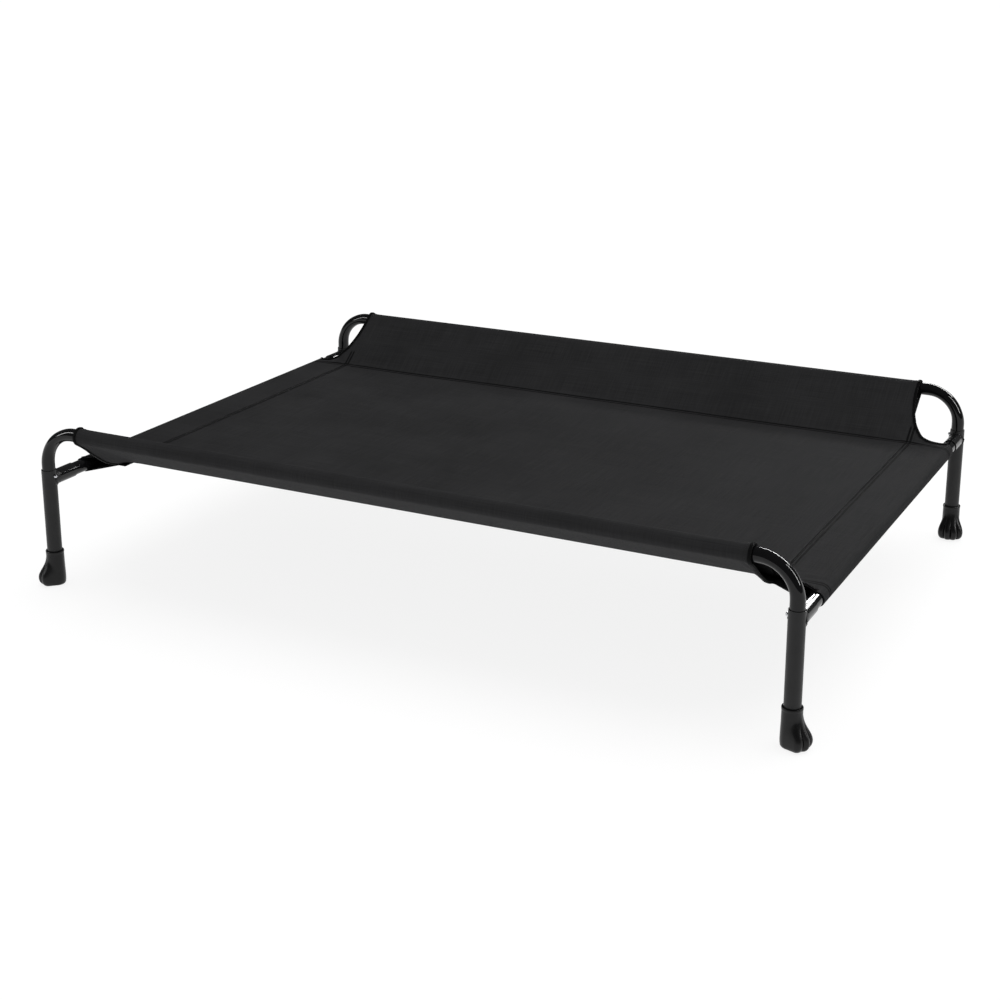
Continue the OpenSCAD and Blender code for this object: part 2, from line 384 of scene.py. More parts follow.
def rubber_paint():
    """Moulded black rubber with a fine matte grain, polished where it is rubbed."""
    paint = Paint("foot_rubber", (0.006, 0.006, 0.0062), 0.36, Specular_IOR_Level=0.24)
    place = paint.place()
    grain = paint.noise(place, 1500, 3)
    dust = paint.noise(place, 45, 5, 0.65)
    paint.to("Base Color", paint.mix(
        paint.spread(dust, 0.5, 0.8, 0, 0.6), (0.0055, 0.0055, 0.0057), (0.015, 0.015, 0.0155)))
    paint.to("Roughness", paint.spread(dust, 0.3, 0.75, 0.24, 0.42))
    paint.to("Normal", paint.bump(grain, 0.12 * MM, 0.2))
    return paint.material


def zinc_paint():
    """Bright zinc plating on the buttons."""
    paint = Paint("button_zinc", (0.62, 0.63, 0.65), 0.28, Metallic=1.0)
    grain = paint.noise(paint.place(), 700, 4)
    paint.to("Base Color", paint.mix(grain, (0.5, 0.51, 0.53), (0.72, 0.73, 0.75)))
    paint.to("Roughness", paint.spread(grain, 0.3, 0.7, 0.2, 0.38))
    paint.to("Normal", paint.bump(grain, 0.05 * MM, 0.3))
    return paint.material


def spring_paint():
    """Dark strip steel."""
    paint = Paint("spring_steel", (0.25, 0.25, 0.27), 0.35, Metallic=1.0)
    grain = paint.noise(paint.place(), 400, 4)
    paint.to("Base Color", paint.mix(grain, (0.2, 0.2, 0.22), (0.33, 0.32, 0.32)))
    paint.to("Roughness", paint.spread(grain, 0.3, 0.7, 0.28, 0.45))
    return paint.material


WEAVE, TAPE, THREAD = weave_paint(), tape_paint(), thread_paint()
SATIN, GLOSS, RUBBER = satin_paint(), gloss_paint(), rubber_paint()
ZINC, SPRING = zinc_paint(), spring_paint()

# The CAD's own legs, end rails and buttons stay shown, by the first word of a name.
FINISHES = {"leg": SATIN, "end": GLOSS, "button": ZINC}
for node_name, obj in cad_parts.items():
    finish = FINISHES.get(node_name.split("_")[0])
    if finish:
        obj.data.materials.clear()
        obj.data.materials.append(finish)


# Long rails ------------------------------------------------------------------


BEND_STEPS = 44
# Shares by which the bend is flatter in its plane and wider across it.
FLATTEN, WIDEN = 0.10, 0.035
TIP_CHAMFER = 0.0005


def leg_button(side, end):
    """Place of the button at a leg's top, and the direction that it points."""
    return (side * HALF_X, end * HALF_Y, BUTTON_Z), (-side, 0, 0)


def middle_button(end):
    """Place of the button at a long rail's middle, and the direction that it points."""
    inwards, down = math.cos(MIDDLE_BUTTON_FALL), math.sin(MIDDLE_BUTTON_FALL)
    return (MIDDLE_BUTTON_X, end * HALF_Y, RAIL_Z), (0, -end * inwards, -down)


def bend_path():
    """Stations along a half rail: place in its plane, outward normal, squash."""
    stations = []
    for z in (PLUG_Z, 0.16, 0.18, LEG_TOP - 0.004, LEG_TOP, LEG_TOP + 0.004,
              RAIL_Z - BEND_R):
        stations.append(((0.0, z), (-1.0, 0.0), 0.0))
    for i in range(1, BEND_STEPS + 1):
        share = i / BEND_STEPS
        a = math.pi / 2 * share
        out = (-math.cos(a), math.sin(a))
        place = (BEND_R + BEND_R * out[0], RAIL_Z - BEND_R + BEND_R * out[1])
        squash = smoothstep(share, 0.0, 0.3) * (1 - smoothstep(share, 0.7, 1.0))
        stations.append((place, out, float(squash)))
    for x in np.linspace(BEND_R + 0.012, HALF_X, 12):
        stations.append(((float(x), RAIL_Z), (0.0, 1.0), 0.0))
    return stations


def rail_ring(station, radius):
    """A ring of the rail, flattened in the bend's plane as a bent tube is."""
    (x, z), (nx, nz), squash = station
    in_plane = radius * (1 - FLATTEN * squash)
    across = radius * (1 + WIDEN * squash)
    ring = []
    for a in round_angles(56):
        c, s = math.cos(a) * in_plane, math.sin(a) * across
        ring.append((x + nx * c, s, z + nz * c))
    return ring


def straight_ring(x, radius):
    """A ring of the rail's straight top, at a distance from the leg."""
    return rail_ring(((x, RAIL_Z), (0.0, 1.0), 0.0), radius)


def long_rail(name, side, end):
    """Half a long rail. The left one ends in a reduced end that plugs into the right."""
    stations = bend_path()
    outer = [rail_ring(station, RAIL_R) for station in stations]
    inner = [rail_ring(station, RAIL_R - WALL) for station in stations]
    if side == LEFT:
        tip = HALF_X + SWAGE_LENGTH
        outer.append(straight_ring(HALF_X, SWAGE_R))
        outer.append(straight_ring(tip - 2 * TIP_CHAMFER, SWAGE_R))
        outer.append(straight_ring(tip, SWAGE_R - TIP_CHAMFER))
        inner[-1:] = [
            straight_ring(HALF_X - SWAGE_TAPER, RAIL_R - WALL),
            straight_ring(HALF_X, SWAGE_BORE_R),
            straight_ring(tip, SWAGE_BORE_R),
        ]
    rings = outer + inner[::-1]
    verts = [
        (side * (HALF_X - x), end * HALF_Y + y, z)
        for ring in rings for x, y, z in ring
    ]
    faces = grid_faces(len(rings), len(rings[0]), wrap_cols=True, wrap_rows=True)
    rail = piece(name, verts, faces, GLOSS)
    for place, direction in (leg_button(side, end), middle_button(end)):
        drill(rail, place, direction)
    tidy_mesh(rail, SHARP, outwards=False)
    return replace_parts(rail, name.replace("tube", "rail"))


def drill(obj, place, direction):
    """Cuts a button's hole through one wall of a tube."""
    turns, reach = 32, 0.02
    axis = Vector(direction).normalized()
    across = axis.orthogonal().normalized()
    other = axis.cross(across)
    verts = []
    for along in (0.0, reach):
        for a in round_angles(turns):
            spoke = across * math.cos(a) + other * math.sin(a)
            verts.append(tuple(Vector(place) + axis * along + spoke * HOLE_R))
    mesh = bpy.data.meshes.new("drill")
    mesh.from_pydata(verts, [], tube_faces(2, turns))
    cutter = new_object("drill", mesh)
    tidy_mesh(cutter, SHARP)
    cut = obj.modifiers.new("hole", "BOOLEAN")
    cut.operation, cut.solver, cut.object = "DIFFERENCE", "EXACT", cutter
    apply_modifiers(obj)
    bpy.data.objects.remove(cutter)


for corner, (side, end) in CORNERS.items():
    long_rail("tube_" + corner, side, end)


# Button springs --------------------------------------------------------------

# A V of flat steel in a tube: how far its arms reach past the button, the distance
# from the button to the bow, the bow's radius and half its turn in degrees, and the
# strip's section.
ARM = 0.006
BOW_AT = 0.030
BOW_R = 0.00185
BOW_TURN = 75
STRIP_W, STRIP_T = 0.006, 0.0007
STRIP_EDGE = 0.0002
# The button's travel and flange, and the spring's gaps to the flange and the wall.
FLANGE_R, FLANGE_T, FLANGE_GAP = 0.0045, 0.0008, 0.0005
FREE_GAP = 0.0001
WALL_GAP = 0.0002


def strip_ring(place, facing, across):
    """The strip's section, with its sheared edges broken."""
    w, t, e = STRIP_W / 2, STRIP_T / 2, STRIP_EDGE
    corners = ((w - e, t), (w, t - e), (w, e - t), (w - e, -t),
               (e - w, -t), (-w, e - t), (-w, t - e), (e - w, t))
    return [place + across * u + facing * v for u, v in corners]


def v_spring(name, joint, bore_r, place, out, bow_way):
    """One arm under the button's flange, the other against the tube's far wall."""
    place, out, bow_way = Vector(place), Vector(out), Vector(bow_way)
    across = out.cross(bow_way)
    near = math.sqrt(bore_r ** 2 - FLANGE_R ** 2) - FLANGE_GAP - FLANGE_T - FREE_GAP
    far = WALL_GAP - math.sqrt(bore_r ** 2 - (STRIP_W / 2) ** 2)
    line = [(-ARM, near - STRIP_T / 2), (ARM, near - STRIP_T / 2)]
    for turn in np.radians(np.linspace(BOW_TURN, -BOW_TURN, 13)):
        line.append((BOW_AT + BOW_R * math.cos(turn), BOW_R * math.sin(turn)))
    line += [(ARM, far + STRIP_T / 2), (-ARM, far + STRIP_T / 2)]
    steps = np.gradient(np.array(line), axis=0)
    steps /= np.linalg.norm(steps, axis=1)[:, None]
    rings = []
    for (along, height), (ahead, up) in zip(line, steps):
        facing = out * ahead - bow_way * up
        rings.append(strip_ring(place + bow_way * along + out * height, facing, across))
    verts = [v for ring in rings for v in ring]
    faces = tube_faces(len(rings), len(rings[0]))
    spring = piece(name, verts, faces, SPRING)
    tuple(out)
    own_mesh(spring)
    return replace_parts(spring, name.replace("leaf", "spring"))


for corner, (side, end) in CORNERS.items():
    v_spring("leaf_" + corner, "press_" + corner, RAIL_R - WALL,
             *leg_button(side, end), bow_way=(0, 0, -1))
for spot, end in (("front_middle", FRONT), ("back_middle", BACK)):
    v_spring("leaf_" + spot, "press_" + spot, SWAGE_BORE_R,
             *middle_button(end), bow_way=(-1, 0, 0))


# Weld beads ------------------------------------------------------------------


BEAD_R = 0.0016


def weld_bead(name, side, end):
    """The ripples of weld where the end rail's socket meets the leg."""
    steps, turns = 120, 12
    verts = []
    for a in round_angles(steps):
        x = SOCKET_R * math.cos(a)
        z = SOCKET_R * math.sin(a)
        y = math.sqrt(LEG_R ** 2 - x ** 2)
        out = Vector((math.cos(a), 0, math.sin(a)))
        away = Vector((x / LEG_R * 0.4, y / LEG_R + 0.3, 0)).normalized()
        radius = BEAD_R * (1 + 0.13 * math.sin(17 * a) + 0.08 * math.sin(5 * a + side))
        for b in round_angles(turns):
            shift = (out * math.cos(b) + away * math.sin(b)) * radius
            p = Vector((x, y, END_RAIL_Z + z)) + shift
            verts.append((side * (HALF_X - p.x), end * (HALF_Y - p.y), p.z))
    faces = grid_faces(steps, turns, wrap_cols=True, wrap_rows=True)
    return piece(name, verts, faces, SATIN)


for corner, (side, end) in CORNERS.items():
    weld_bead("weld_" + corner, side, end)


# Feet ------------------------------------------------------------------------

# Sizes in mm by height: the heel's radius, how far the toes reach from the leg's
# axis, the radius of a toe's ball, and the depth of the grooves between toes.
FOOT_BODY = [
    (0.0, 11.6), (0.4, 12.8), (1.2, 13.8), (2.6, 14.7), (5, 15.2), (8, 15.45), (12, 15.6),
    (20, 15.5), (28, 15.3), (40, 15.0), (53.5, 14.9), (56.2, 14.95), (57.2, 15.3),
    (59.8, 15.35), (60.7, 15.0), (61.0, 14.3),
]
FOOT_TOES = [
    (0.0, 21.2), (0.4, 22.8), (1.2, 24.6), (3, 26.8), (6, 28.7), (10, 29.8), (14, 30.0),
    (18, 29.2), (22, 27.5), (26, 25.2), (30, 22.6), (34, 20.2), (38, 18.2), (42, 16.7),
    (46, 15.7), (50, 15.0),
]
TOE_BALL = [(0.0, 4.4), (1.2, 5.8), (3, 6.9), (6, 7.7), (12, 8.0)]
TOE_GROOVES = [
    (0.0, 2.4), (1.2, 3.4), (4, 4.6), (10, 5.6), (16, 5.6), (21, 4.9), (26, 3.6), (31, 1.9),
    (36, 0.6), (39, 0.0),
]
# Heights of the rings above the sole.
FOOT_HEIGHTS = [
    0.4, 1.2, 2.6, 4.2, 6, 8, 10, 12, 14, 16, 18, 20, 22, 24, 26, 28, 30, 32, 34,
    36, 38, 40, 42, 46, 50, 53.5, 55.4, 56.2, 56.8, 57.2, 58.5, 59.8, 60.4, 60.7,
    60.9, 61.0,
]
FOOT_BORE_R = 12.6
FOOT_FLOOR = 8.0
# The toes' angles, their shares of the reach, and half the angle between two.
TOE_FAN = [(-45, 0.94), (-16, 1.0), (13, 1.0), (42, 0.94)]
TOE_HALF = 14.5
# How far round a toe's side falls: at 1 it would end square to the outline.
TOE_FALL = 0.97
# The sole's dish, from its middle out, as shares of the outline and heights.
SOLE = [(0.15, 0.8), (0.45, 0.8), (0.84, 0.8), (0.90, 0.5), (0.93, 0.0), (1.0, 0.0)]
# The socket, from the rim down, as radii and heights.
SOCKET = [
    (13.5, 61.0), (12.9, 60.8), (FOOT_BORE_R, 60.2), (FOOT_BORE_R, 30),
    (FOOT_BORE_R, FOOT_FLOOR), (6, FOOT_FLOOR), (1.5, FOOT_FLOOR),
]
# Angles from the toes' middle, close together across the toes.
FOOT_ANGLES = [*np.arange(-60.5, 57.5, 1.0), *np.arange(57.5, 299.5, 4.0)]
ROUND = np.radians(np.arange(0, 360, 1.5))


def foot_outline(angles, height):
    """Radii of the foot in mm at a height, for angles from its toes' middle."""
    body, reach, ball, depth = (
        np.interp(height, *zip(*table))
        for table in (FOOT_BODY, FOOT_TOES, TOE_BALL, TOE_GROOVES)
    )
    # Support function of the hull round the heel and the toes' balls.
    support = np.full(len(ROUND), body)
    for centre, size in TOE_FAN:
        support = np.maximum(
            support, (reach * size - ball) * np.cos(ROUND - math.radians(centre)) + ball)
    radii = []
    for angle in angles:
        cosine = np.cos(ROUND - math.radians(angle))
        facing = cosine > 0.1
        radius = float(np.min(support[facing] / cosine[facing]))
        if TOE_FAN[0][0] < angle < TOE_FAN[-1][0]:
            off = min(abs(angle - centre) for centre, _ in TOE_FAN) / TOE_HALF
            radius -= depth * (1 - math.sqrt(1 - TOE_FALL * min(off, 1) ** 2))
        radii.append(radius)
    return radii


def foot(name, side, end, toes):
    """A foot pushed on its leg, with its toes turned to an angle."""
    signed = [(a + 180) % 360 - 180 for a in FOOT_ANGLES]
    turns = len(FOOT_ANGLES)
    flat = foot_outline(signed, 0.0)
    rings = [[(share * radius, lift) for radius in flat] for share, lift in SOLE]
    for height in FOOT_HEIGHTS:
        rings.append([(radius, height) for radius in foot_outline(signed, height)])
    for radius, height in SOCKET:
        rings.append([(radius, height)] * turns)
    cos = [math.cos(math.radians(a + toes)) for a in FOOT_ANGLES]
    sin = [math.sin(math.radians(a + toes)) for a in FOOT_ANGLES]
    verts = [
        (side * HALF_X + r * MM * cos[k], end * HALF_Y + r * MM * sin[k], z * MM)
        for ring in rings for k, (r, z) in enumerate(ring)
    ]
    faces = tube_faces(len(rings), turns)
    made = piece(name, verts, faces, RUBBER, sharp=50)
    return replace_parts(made, name.replace("paw", "foot"))


# Which way a foot's toes point, in degrees from +X.
TOE_DIRECTIONS = {"front_left": -150, "front_right": 0, "back_left": -107, "back_right": -73}
for corner, (side, end) in CORNERS.items():
    foot("paw_" + corner, side, end, TOE_DIRECTIONS[corner])


# Sling -----------------------------------------------------------------------
#
# A corner of the sling is a surface over (a, b). a is the distance from the end
# rail's axis inwards, and below 0 the cloth goes on round that rail. b is the
# distance along the cloth from the deck's crease, negative on the deck; it runs
# up the slope, round the long rail, and back down to the seam.

SEAM_DROP = 2 * CLOTH
END_SEAM_Z = DECK_Z - 3 * CLOTH
# The cloth past a seam lies this much nearer the deck than the seam does.
PAST_SEAM_LIFT = 0.25 * MM


def tangents(reach, rise, drop):
    """Angles of the upper and lower runs from a rail's sleeve to the seam."""
    up = math.atan2(rise, reach) - math.asin(SLEEVE_R / math.hypot(reach, rise))
    low = rise - drop
    down = math.atan2(low, reach) + math.asin(SLEEVE_R / math.hypot(reach, low))
    return up, down


UPPER, LOWER = tangents(SLOPE_REACH, DECK_Z - RAIL_Z, SEAM_DROP)
# The slope's angle from the crease up.
PULL = -UPPER
RUN = math.sqrt(SLOPE_REACH ** 2 + (DECK_Z - RAIL_Z) ** 2 - SLEEVE_R ** 2)
ARC_FROM, ARC_TO = UPPER + math.pi / 2, LOWER + 1.5 * math.pi
ARC = SLEEVE_R * (ARC_TO - ARC_FROM)
LOW_RISE = DECK_Z - RAIL_Z - SEAM_DROP
LOW_RUN = math.sqrt(SLOPE_REACH ** 2 + LOW_RISE ** 2 - SLEEVE_R ** 2)
SEAM_B = RUN + ARC + LOW_RUN
# Half the width of the soft bend at the crease.
CREASE_W = 0.005
# Inset at which the slope has its full pull, and the lengths over which the free
# flap under the slope and the loose mouth of the sleeve settle.
GORE_END, GORE_POWER = 0.062, 0.9
FLAP_FADE, MOUTH_FADE = 0.036, 0.028
# Depths in mm: the free flap's sag at its middle and at its seam, the deck's sag,
# the grooves of the stitch rows, and the lift over the folded hems.
FLAP_SAG, FLAP_SEAM_SAG = 12.5, 1.5
DECK_SAG = 4.0
DECK_GROOVE, HEM_GROOVE, GROOVE_W = 0.55, 0.6, 1.3
HEM_LIFT = 0.5

# Edge of the mesh at a corner, as insets from the leg's axis. The sleeve's end
# differs from corner to corner, and the edge's upper part goes with it.
EDGE = np.array([
    (66, 8), (65.6, 24), (64.8, 40), (63.2, 54), (60.6, 66), (56, 76.5), (50, 84.5),
    (43, 90.5), (35, 94), (27, 95), (19, 93.5), (12, 90.5), (6, 86.8), (0, 82.5),
]) * MM


def gore(a):
    """How much of the slope is left near an end rail, where it runs out flat."""
    return smoothstep(np.clip(a, 0, 1) ** GORE_POWER, 0.0, GORE_END ** GORE_POWER)


def ripple(x, y, z, scale):
    return noise.noise(Vector((x * scale, y * scale, z * scale)))


def end_wrap(side):
    """Angle of an end sleeve's lower run, and the lengths of its arc and run."""
    hem, rise = HEM_REACH[side], END_SEAM_Z - END_RAIL_Z
    down = math.atan2(rise, hem) + math.asin(SLEEVE_R / math.hypot(hem, rise))
    return down, SLEEVE_R * (down + math.pi), math.sqrt(hem ** 2 + rise ** 2 - SLEEVE_R ** 2)


def surface_point(side, end, a, b):
    """The sling's outer surface at (a, b) of a corner, in the bed's own frame."""
    x_in, z = a, DECK_Z
    if b <= RUN:
        # The deck and the slope, with a soft bend between them.
        sin_pull = math.sin(PULL) * float(gore(a))
        soft = max(b + CREASE_W, 0) ** 2 / (4 * CREASE_W) if b <= CREASE_W else b
        y_in = SLOPE_REACH - (b * math.sqrt(1 - sin_pull ** 2) if b > 0 else b)
        z += soft * sin_pull
    else:
        y_in, z = long_sleeve_point(side, end, a, b)
    if a < 0:
        x_in, z = end_sleeve_point(side, -a)
    x, y = side * (HALF_X - x_in), end * (HALF_Y - y_in)
    if a >= 0 and b <= RUN:
        z += relief(side, end, a, b, x, y)
    return np.array((x, y, z))


def long_sleeve_point(side, end, a, b):
    """Inset and height round the long rail, back down to the seam and past it."""
    radius = SLEEVE_R + mouth_puff(side, end, a, b)
    if b <= RUN + ARC:
        t = ARC_FROM + (b - RUN) / SLEEVE_R
        return radius * math.cos(t), RAIL_Z + radius * math.sin(t)
    c = min(b - RUN - ARC, LOW_RUN)
    y_in = radius * math.cos(ARC_TO) + c * math.cos(LOWER)
    z = RAIL_Z + radius * math.sin(ARC_TO) + c * math.sin(LOWER)
    past_seam = b - RUN - ARC - LOW_RUN
    if past_seam > 0:
        y_in += past_seam
        z = DECK_Z - SEAM_DROP + PAST_SEAM_LIFT
    mouth = SLEEVE_END[side, end]
    free = 1 - float(smoothstep(a, mouth, mouth + FLAP_FADE))
    share = c / LOW_RUN
    sag = FLAP_SAG * math.sin(math.pi * share ** 1.3) + FLAP_SEAM_SAG * share ** 4
    return y_in, z - free * sag * MM


def end_sleeve_point(side, s):
    """Inset and height at a length s round the end rail, back to the seam and past it."""
    down, arc, run = end_wrap(side)
    if s > arc + run:
        return HEM_REACH[side] + s - arc - run, END_SEAM_Z + PAST_SEAM_LIFT
    t = math.pi / 2 + min(s, arc) / SLEEVE_R
    c = max(s - arc, 0)
    return (SLEEVE_R * math.cos(t) + c * math.cos(down),
            END_RAIL_Z + SLEEVE_R * math.sin(t) + c * math.sin(down))


def mouth_puff(side, end, a, b):
    """How far the cloth stands off the rail near the open end of its sleeve."""
    mouth = SLEEVE_END[side, end]
    near = 1 - float(smoothstep(a, mouth, mouth + MOUTH_FADE))
    hem = 1 - float(smoothstep(a, mouth + MOUTH_HEM - 0.001, mouth + MOUTH_HEM + 0.001))
    return (near * (0.5 + 0.9 * ripple(b + side, end, a, 38)) + 0.45 * hem) * MM


def groove(off):
    """How deep a stitch row is at a distance from it, as a share."""
    return math.exp(-(off / MM / GROOVE_W) ** 2)


def between(value, low, high, fall_from, fall_to):
    """1 between two soft limits and 0 outside them."""
    return float(smoothstep(value, low, high)) * (1 - float(smoothstep(value, fall_from, fall_to)))


def relief(side, end, a, b, x, y):
    """Sag, seams and small ripples of the top layer, as a change of height."""
    hem = HEM_REACH[side]
    rise = 0.0
    if b < 0:
        sx = min(abs(x) / (HALF_X - hem), 1)
        sy = abs(y) / DECK_HALF
        rise -= DECK_SAG * (1 - sx ** 2) * (1 - sy ** 2)
    # Stitch rows pull the cloth down; the folded hem under it lifts it a little.
    for row in DECK_ROWS:
        rise -= DECK_GROOVE * groove(b - row) * min(1, a / 0.05)
    rise += HEM_LIFT * between(b, -0.0165, -0.013, 0.002, 0.008)
    for row in HEM_ROWS:
        rise -= HEM_GROOVE * groove(a - hem - row)
    rise += HEM_LIFT * between(-a, -hem - 0.0165, -hem - 0.013, -hem + 0.004, -hem + 0.012)
    rise += 0.7 * ripple(x, y, 3.1, 6) + 0.25 * ripple(x, y, 7.7, 22)
    if b > 0:
        # Long creases along the slope, as cloth under tension has.
        rise += between(b, 0, 0.02, RUN - 0.03, RUN) * (
            0.9 * ripple(x * 0.22, b, end * 2.0, 34) + 0.5 * ripple(x * 0.5, b, end * 5.0, 60))
    # Puckers that run from the sewn corner towards the deck.
    px, py = a - hem, b + 0.001
    swell = math.exp(-((math.hypot(px, py) - 0.030) / 0.030) ** 2)
    fan = math.sin(9 * math.atan2(py, px) + side + 2 * end)
    rise += 0.4 * swell * fan * float(smoothstep(a, 0.0, 0.03))
    return rise * MM


def surface_frame(side, end, a, b):
    """Point, unit vectors along a and b, and the outward normal."""
    step = 0.0002
    p = surface_point(side, end, a, b)
    along_a = surface_point(side, end, a + step, b) - surface_point(side, end, a - step, b)
    along_b = surface_point(side, end, a, b + step) - surface_point(side, end, a, b - step)
    along_a /= np.linalg.norm(along_a)
    along_b /= np.linalg.norm(along_b)
    # +a runs inwards and +b outwards, so their order gives the outside by corner.
    normal = np.cross(along_a, along_b) * side * end
    return p, along_a, along_b, normal / np.linalg.norm(normal)


def lengths_along(path):
    """The length of a path up to each of its points."""
    steps = np.linalg.norm(np.diff(path, axis=0), axis=1)
    return np.concatenate([[0], np.cumsum(steps)])


def even_steps(path, count):
    """Points along a path in a plane, at even steps of its length."""
    length = lengths_along(path)
    at = np.linspace(0, length[-1], count)
    return np.column_stack([np.interp(at, length, path[:, k]) for k in (0, 1)])


def smooth_curve(points, count):
    """A Catmull-Rom curve through the points, at even steps of its length."""
    pts = np.vstack([2 * points[0] - points[1], points, 2 * points[-1] - points[-2]])
    fine = []
    for i in range(1, len(pts) - 2):
        p0, p1, p2, p3 = pts[i - 1:i + 3]
        for t in np.linspace(0, 1, 24, endpoint=False):
            fine.append(0.5 * (2 * p1 + (p2 - p0) * t + (2 * p0 - 5 * p1 + 4 * p2 - p3) * t ** 2
                               + (3 * p1 - p0 - 3 * p2 + p3) * t ** 3))
    fine.append(pts[-2])
    return even_steps(np.array(fine), count)


def edge_as_ab(points, sleeve_end):
    """The edge's insets as (a, b), from the sleeve's end on."""
    out = []
    for a, inset in points:
        a += (sleeve_end - EDGE[0][0]) * float(1 - smoothstep(inset, 0.020, 0.085))
        sin_pull = math.sin(PULL) * float(gore(a))
        out.append((a, (SLOPE_REACH - inset) / math.sqrt(1 - sin_pull ** 2)))
    out[0] = (sleeve_end, RUN)
    return np.array(out)


EDGE_COLUMNS = 34
EDGE_AB = {
    corner: edge_as_ab(smooth_curve(EDGE, EDGE_COLUMNS), sleeve_end)
    for corner, sleeve_end in SLEEVE_END.items()
}
# b in mm of the rows that all columns share, close together at the deck's seams.
ROWS_SHARED = np.array([
    -352, -330, -305, -280, -255, -230, -205, -180, -155, -132, -110, -92, -76, -62,
    -50, -40, -31, -24, -19, -16.5, -14.5, -13, -10, -7.5, -5.5, -4, -2.5, -1, 0.5, 2,
    3.5, 5.5, 8,
]) * MM
ROWS_EDGE = 24


def column_rows(b_edge):
    """b of every vertex of a column, from the bed's middle to the cloth's edge."""
    last = ROWS_SHARED[-1]
    share = np.arange(1, ROWS_EDGE + 1) / ROWS_EDGE
    return np.concatenate([ROWS_SHARED, last + (b_edge - last) * share])


def deck_columns(sleeve_end):
    """a of the columns inside the sleeve's end, from the bed's middle outwards."""
    middle = np.linspace(HALF_X, 0.112, 44)
    seam = np.array([
        102, 96, 92.5, 90.5, 89, 86.5, 83.5, 81, 79.5, 78, 76.5, 75, 73.5, 72, 70.5, 69,
        67.5, 65.5,
    ]) * MM
    return np.concatenate([middle, seam[seam > sleeve_end + 0.0008]])


# Steps of the cloth that goes on past a seam, under the deck.
PAST_SEAM = np.array([0.0015, 0.004, 0.008, ALLOWANCE])
# The mouth of an end sleeve is cut back by this much below the rail, and its rows
# give way to that from this far inside the crease.
MOUTH_CUT = 0.006
MOUTH_CUT_FROM = -0.110


def build_sling():
    verts, uvs, faces = [], [], []

    def add_patch(side, end, columns):
        """Columns of (a, b) stations that make one grid of the cloth."""
        start = len(verts)
        for column in columns:
            for a, b in column:
                verts.append(surface_point(side, end, a, b))
                uvs.append((side * (HALF_X - a), end * (DECK_HALF + b)))
        made = grid_faces(len(columns), len(columns[0]), start)
        faces.extend(f if side * end > 0 else f[::-1] for f in made)

    for side, end in CORNERS.values():
        sleeve_end, edge = SLEEVE_END[side, end], EDGE_AB[side, end]
        inner = deck_columns(sleeve_end)
        columns = [[(a, b) for b in column_rows(RUN)] for a in inner]
        columns += [[(a, b) for b in column_rows(b_edge)] for a, b_edge in edge]
        add_patch(side, end, columns)

        # Round the long rail, back to the seam and under the deck.
        wrap = np.concatenate([
            RUN + np.linspace(0, ARC, 19),
            RUN + ARC + np.linspace(0, LOW_RUN, 17)[1:],
            SEAM_B + PAST_SEAM,
        ])
        add_patch(side, end, [[(a, b) for b in wrap] for a in [*inner, sleeve_end]])

        # Round the end rail, back to the seam and under the deck.
        _, arc, run = end_wrap(side)
        wrap = np.concatenate([
            np.linspace(0, arc, 19),
            arc + np.linspace(0, run, 10)[1:],
            arc + run + PAST_SEAM,
        ])
        mouth = edge[-1][1]
        columns = []
        for s in wrap:
            rows = column_rows(mouth)
            cut = MOUTH_CUT * float(smoothstep(s, 0.0, arc))
            scale = (mouth - cut - MOUTH_CUT_FROM) / (mouth - MOUTH_CUT_FROM)
            rows = np.where(
                rows > MOUTH_CUT_FROM, MOUTH_CUT_FROM + (rows - MOUTH_CUT_FROM) * scale, rows)
            columns.append([(-s, b) for b in rows])
        add_patch(side, end, columns)
    return verts, faces, uvs


def thicken(obj, thickness):
    """Gives the cloth its thickness, inwards from the outer surface."""
    shell = obj.modifiers.new("thickness", "SOLIDIFY")
    shell.thickness, shell.offset = thickness, -1.0
    shell.use_rim = True
    apply_modifiers(obj)


verts, faces, uvs = build_sling()
sling = piece("sling", verts, faces, WEAVE, sharp=180, uvs=uvs)
weld(sling, 0.02 * MM)
thicken(sling, CLOTH)
shade(sling, 50)
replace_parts(sling, "sling_deck", "sling_front_sleeve", "sling_back_sleeve",
            "sling_left_sleeve", "sling_right_sleeve")


# Binding tape ----------------------------------------------------------------

TAPE_WIDTH = 4.6
TAPE_SECTION = [  # (mm in from the cloth's edge, mm above its outer surface)
    (4.6, 0.55), (3.68, 0.72), (2.3, 0.72), (0.69, 0.70), (-0.25, 0.45), (-0.55, -0.6),
    (-0.25, -1.65), (0.69, -1.9), (2.3, -1.92), (3.68, -1.92), (4.6, -1.75),
    (4.6, -1.35), (0.6, -1.35), (0.3, -0.6), (0.6, 0.15), (4.6, 0.15),
]
# Middle of the cloth's thickness, where the tape is folded, in mm.
TAPE_FOLD = -0.6
# Heights in mm of the puckers' even and random parts, and the even part's turn per mm.
PUCKER_EVEN, PUCKER_RANDOM, PUCKER_TURN = 0.22, 0.25, 0.55


def tape_path(side, end):
    """(a, b) along the cloth's edge, from the seam round the rail and the scoop."""
    mouth = [(SLEEVE_END[side, end], b) for b in np.linspace(SEAM_B - 0.004, RUN, 56)]
    return np.vstack([mouth[:-1], even_steps(EDGE_AB[side, end], 110)])


